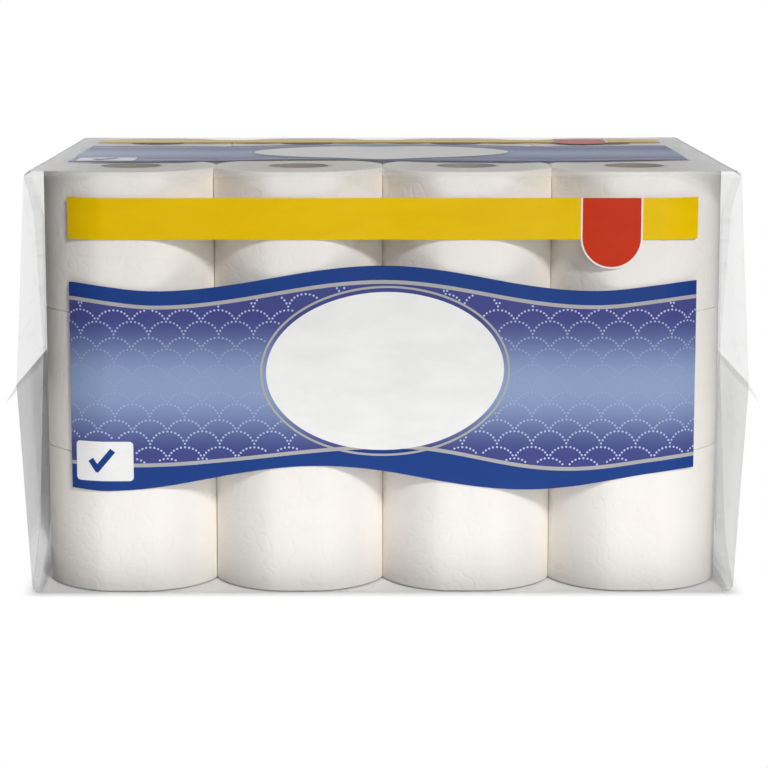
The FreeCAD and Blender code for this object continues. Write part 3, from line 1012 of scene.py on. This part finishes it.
def film_material(settings, name, cloud):
    """Clear over the rolls, milky where it stands free at the ends, hazier where seen edge on; grey and
    dense where the top stands past the rolls, painted shade; the lower end flaps milkier, partly painted
    shade; crease lines denser, partly painted glints.
    """
    made, tree, shader = material(name, {"Roughness": 0.2, "Specular IOR Level": 0.7,
                                         "Coat Weight": 0.5, "Coat Roughness": 0.1})
    place = object_place(tree)
    crease = grouped(tree, "Film Creases", film_creases, {"Place": place})
    x, _, z = axes(place)
    facing = Wire(add_node(tree, "ShaderNodeLayerWeight", {"Blend": 0.5}), "Facing")
    at_end = ranged(abs(x), BLOCK - 0.001, BLOCK + 0.003)
    low_flap = ranged(z, MID_HEIGHT + 0.001, MID_HEIGHT - 0.001)
    # Lower flaps milkier, partly for a second layer and partly as painted shade; more at the left end,
    # painted shade for the side away from the key lamp
    low_flap_milk_and_shade = low_flap * ranged(x, 0.1, -0.1, *LOW_MILK_AND_SHADE)
    on_top = ranged(z, PACK_HEIGHT - 0.004, PACK_HEIGHT - 0.002)
    past_rolls = ranged(abs(x), BLOCK - 0.05, BLOCK - 0.005)
    # Painted shade: where the top film stands past the rolls and is seen edge on, it is made dense
    painted_top_shade = on_top * past_rolls * ranged(facing, 0.3, 0.75)
    milk = on_top * TOP_MILK + (painted_top_shade * TOP_SHADE_MILK + at_end * (low_flap_milk_and_shade + FLAP_MILK))
    veil = sum_of("POWER", facing, 3.0) * 0.05 + settings.haze
    # Crease lines made denser, more at the ends: partly the whitening of stretched film, partly painted
    # glints
    lines = Wire(crease, "Lines") * (at_end * 0.04 + 0.01)
    feed(shader.inputs["Alpha"], milk * cloud + veil + lines)
    # Painted shade: the film is darkened to grey where the top stands past the rolls
    feed(shader.inputs["Base Color"], mixed(
        painted_top_shade, settings.film_tint, darker(settings.film_tint, 0.34)))
    bump(shader, Wire(crease, "Height"), 0.3, 0.0004)
    return made


def ink_base(name):
    """Opaque ink under the gloss of the film; gives the height of the creases too."""
    made, tree, shader = material(name, INK_LOOKS)
    crease = grouped(tree, "Film Creases", film_creases, {"Place": object_place(tree)})
    height = Wire(crease, "Height")
    bump(shader, height, 0.2, 0.0003)
    return made, tree, shader, height


def ink_material(name, colour):
    """Ink of one colour."""
    made, tree, shader, height = ink_base(name)
    feed(shader.inputs["Base Color"], mixed(ranged(height, 0.5, 0.9), colour, darker(colour, 0.93)))
    return made


def band_material(name, settings, dots=False):
    """Band's field, or the pale dots on it that fade out in its middle."""
    made, tree, shader, _ = ink_base(name)
    if dots:
        share = Wire(add_node(tree, "ShaderNodeAttribute", attribute_name="tone"), "Fac")
    else:
        share = ranged(sheet_place(tree)[1], 0.084, 0.212, ease="LINEAR")
    colour = Wire(grouped(tree, "Band Colour", band_colour, {
        "Share": share, "Indigo": settings.indigo, "Steel": settings.steel}))
    if dots:
        strong = ranged(abs(share - 0.5), 0.02, 0.30, 0.12, 1.0)
        colour = mixed(strong, colour, settings.pale_blue)
    feed(shader.inputs["Base Color"], colour)
    return made


# Stage: floor, lamps, room and camera
FLOOR_HALF = 6.0
MIDDLE = (0.0, 0.0, 0.15)
LAMPS = (   # name, place, aim, size, share of the key light's power
    ("Key", (1.75, -4.3, 2.95), MIDDLE, (0.8, 0.8), 1.0),
    ("Fill", (0.65, -2.5, 0.6), MIDDLE, (0.9, 0.9), 0.08),
    ("Over", (0.1, 0.7, 2.3), (0.0, 0.0, 0.2), (1.2, 1.0), 0.035),
    ("Back", (-1.3, 3.4, 1.8), MIDDLE, (1.2, 1.2), 0.2),
)
CARD_Y = -FACE - 0.13
FRAME_PIXELS = 768
THROWN_GREY = (0.28, 0.28, 0.28)    # floor as the light sees it, darker than to the eye
WALL_SHINE = 0.73                   # bright wall behind, that only gloss mirrors


def shader_mix(share, first, second):
    """Mix of two shaders."""
    return Wire(add_node(share.tree, "ShaderNodeMixShader", {0: share, 1: first, 2: second}))


def floor_piece():
    """Pale floor that keeps the pack's shadow and turns white further out."""
    made, tree, shader = material("Studio Floor", {"Roughness": 0.6, "Specular IOR Level": 0.2})
    place = object_place(tree)
    seen = add_node(tree, "ShaderNodeLightPath")
    pale = mixed(noise_at(place, 3.0), (0.90, 0.90, 0.90), (0.91, 0.91, 0.91))
    thrown = sum_of("MAXIMUM", Wire(seen, "Is Diffuse Ray"), Wire(seen, "Is Glossy Ray"))
    feed(shader.inputs["Base Color"], mixed(thrown, pale, THROWN_GREY))
    white = Wire(add_node(tree, "ShaderNodeEmission", {"Color": (1, 1, 1)}))
    squares = []
    for wire, half in zip(axes(place), (BLOCK, FACE)):
        past = sum_of("MAXIMUM", abs(wire) - half, 0.0)
        squares.append(past * past)
    away = sum_of("SQRT", squares[0] + squares[1])
    share = ranged(away, -0.004, 0.016) * Wire(seen, "Is Camera Ray")
    output = next(n for n in tree.nodes if n.type == "OUTPUT_MATERIAL")
    feed(output.inputs["Surface"], shader_mix(share, Wire(shader), white))
    corners = [(x * FLOOR_HALF, y * FLOOR_HALF, 0) for x, y in ((-1, -1), (1, -1), (1, 1), (-1, 1))]
    return new_object("floor", corners, [(0, 1, 2, 3)], [made])


def lamp(name, place, aim, size, power):
    """Rectangular lamp, hidden from the camera."""
    data = bpy.data.lights.new(name, "AREA")
    data.shape = "RECTANGLE"
    data.size, data.size_y = size
    data.energy = power
    made = placed(name, data)
    made.location = place
    made.rotation_euler = (Vector(aim) - Vector(place)).to_track_quat("-Z", "Y").to_euler()
    made.visible_camera = False


def room_light(strength):
    """Faint light from all round, a bright wall behind for gloss, plain white past the floor."""
    world = bpy.data.worlds.new("Studio")
    bpy.context.scene.world = world
    world.use_nodes = True
    tree = world.node_tree
    tree.nodes.clear()
    _, y, z = axes(Wire(add_node(tree, "ShaderNodeTexCoord"), "Generated"))
    behind = ranged(y, 0.0, 0.6) * ranged(z, -0.02, 0.08)
    strengths = (strength, behind * WALL_SHINE + strength, 1.0)
    soft, mirrored, seen = (Wire(add_node(tree, "ShaderNodeBackground", {
        "Color": (1, 1, 1), "Strength": power})) for power in strengths)
    path = add_node(tree, "ShaderNodeLightPath")
    unseen = shader_mix(Wire(path, "Is Glossy Ray"), soft, mirrored)
    add_node(tree, "ShaderNodeOutputWorld", {
        "Surface": shader_mix(Wire(path, "Is Camera Ray"), unseen, seen)})


def camera(settings):
    """The camera that took the photograph."""
    data = bpy.data.cameras.new("Camera")
    data.sensor_width = 36
    data.lens = settings.focal_pixels / FRAME_PIXELS * data.sensor_width
    data.clip_end = 100
    made = placed("Camera", data)
    made.location = (settings.camera_aside, -FACE - settings.camera_distance, settings.camera_height)
    made.rotation_euler = (math.pi / 2 - settings.camera_pitch, 0, -settings.camera_yaw)
    bpy.context.scene.camera = made


# Steps of the work, one operator each
def film_piece(piece):
    """The piece stands for the film and rides on the pack."""
    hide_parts("film_wrap")
    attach(piece, "root")


class PACK_OT_rolls(bpy.types.Operator):
    """Builds the 36 rolls of wound paper"""
    bl_idname = "roll_pack.rolls"
    bl_label = "Build rolls"

    def execute(self, context):
        settings = context.scene.pack_paper
        paper = tissue_material(settings)
        for seed, (node, (column, row)) in enumerate(ROLL_NODES.items()):
            low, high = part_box(node)
            points, faces, sheet = roll_mesh(settings, low, high, column, row, seed)
            piece = new_object("paper_" + node, points, faces, [paper], sheet=sheet)
            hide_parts(node)
            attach(piece, "root")
        return {"FINISHED"}


class PACK_OT_cores(bpy.types.Operator):
    """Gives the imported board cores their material"""
    bl_idname = "roll_pack.cores"
    bl_label = "Dress cores"

    def execute(self, context):
        board = board_material(context.scene.pack_paper)
        for node in CORE_NODES:
            core = bpy.data.objects[node]
            core.data.materials.clear()
            core.data.materials.append(board)
        return {"FINISHED"}


class PACK_OT_film(bpy.types.Operator):
    """Builds the clear film with its tucked ends and crimped seams"""
    bl_idname = "roll_pack.film"
    bl_label = "Build film"

    def execute(self, context):
        settings = context.scene.pack_film
        form, sheet, fins = FilmForm(settings), Patchwork(), Patchwork()
        front_grid(form, sheet)
        front_grid(form, sheet, turned_back)
        over_grid(form, sheet)
        over_grid(form, sheet, under=True)
        film_piece(sheet.make("film_sheet", [film_material(settings, "Clear Film", CLEAR)]))
        for side in (-1, 1):
            fin_grid(form, fins, side)
        film_piece(fins.make("film_end_seams", [film_material(settings, "Seam Film", CRIMPED)]))
        return {"FINISHED"}


class PACK_OT_print(bpy.types.Operator):
    """Prints the stripe, the band, the oval, the tab and the dots on three panels"""
    bl_idname = "roll_pack.print"
    bl_label = "Print panels"

    def execute(self, context):
        settings = context.scene.pack_print
        form = FilmForm(context.scene.pack_film)
        inks = [ink_material(name + " Ink", getattr(settings, name.lower())) for name in INKS]
        inks.append(band_material("Band Ink", settings))
        dot_ink = band_material("Dot Ink", settings, dots=True)
        tree = scale_dots_tree()
        for name in ("front", "back", "top"):
            film_piece(print_panel(form, settings, name).make("print_" + name, inks))
            carrier = band_field(form, settings, name).make("band_carrier", [dot_ink])
            dots = dotted(name, carrier, tree, settings, dot_ink)
            if not dots.data.polygons:
                raise RuntimeError("no dots on the panel: " + name)
            film_piece(dots)
        return {"FINISHED"}


class PACK_OT_stage(bpy.types.Operator):
    """Sets the floor, the lamps and the camera"""
    bl_idname = "roll_pack.stage"
    bl_label = "Set stage"

    def execute(self, context):
        settings = context.scene.pack_stage
        floor = floor_piece()
        for name, place, aim, size, share in LAMPS:
            lamp(name, place, aim, size, settings.key_power * share)
        lamp("Floor card", (0.0, CARD_Y, 0.004), (0.0, CARD_Y, 1.0), (0.9, 0.2), settings.card_power)
        room_light(settings.room)
        camera(settings)
        context.scene.view_settings.view_transform = "Standard"
        return {"FINISHED"}


class PACK_PT_panel(bpy.types.Panel):
    bl_label = "Roll Pack"
    bl_idname = "PACK_PT_panel"
    bl_space_type = "VIEW_3D"
    bl_region_type = "UI"
    bl_category = "Roll Pack"

    def draw(self, context):
        for step in STEPS:
            self.layout.operator(step.bl_idname)
        for name, kind in SETTINGS.items():
            box = self.layout.box()
            for title in kind.__annotations__:
                label = title.replace("_", " ").capitalize()
                box.prop(getattr(context.scene, name), title, text=label)


STEPS = (PACK_OT_rolls, PACK_OT_cores, PACK_OT_film, PACK_OT_print, PACK_OT_stage)


def register():
    for kind in (*SETTINGS.values(), *STEPS, PACK_PT_panel):
        bpy.utils.register_class(kind)
    for name, kind in SETTINGS.items():
        setattr(bpy.types.Scene, name, PointerProperty(type=kind))


def unregister():
    for name in SETTINGS:
        delattr(bpy.types.Scene, name)
    for kind in (PACK_PT_panel, *reversed(STEPS), *reversed(list(SETTINGS.values()))):
        bpy.utils.unregister_class(kind)


def main():
    register()
    bpy.ops.roll_pack.rolls()
    bpy.ops.roll_pack.cores()
    bpy.ops.roll_pack.film()
    bpy.ops.roll_pack.print()
    bpy.ops.roll_pack.stage()


if __name__ == "__main__":
    main()
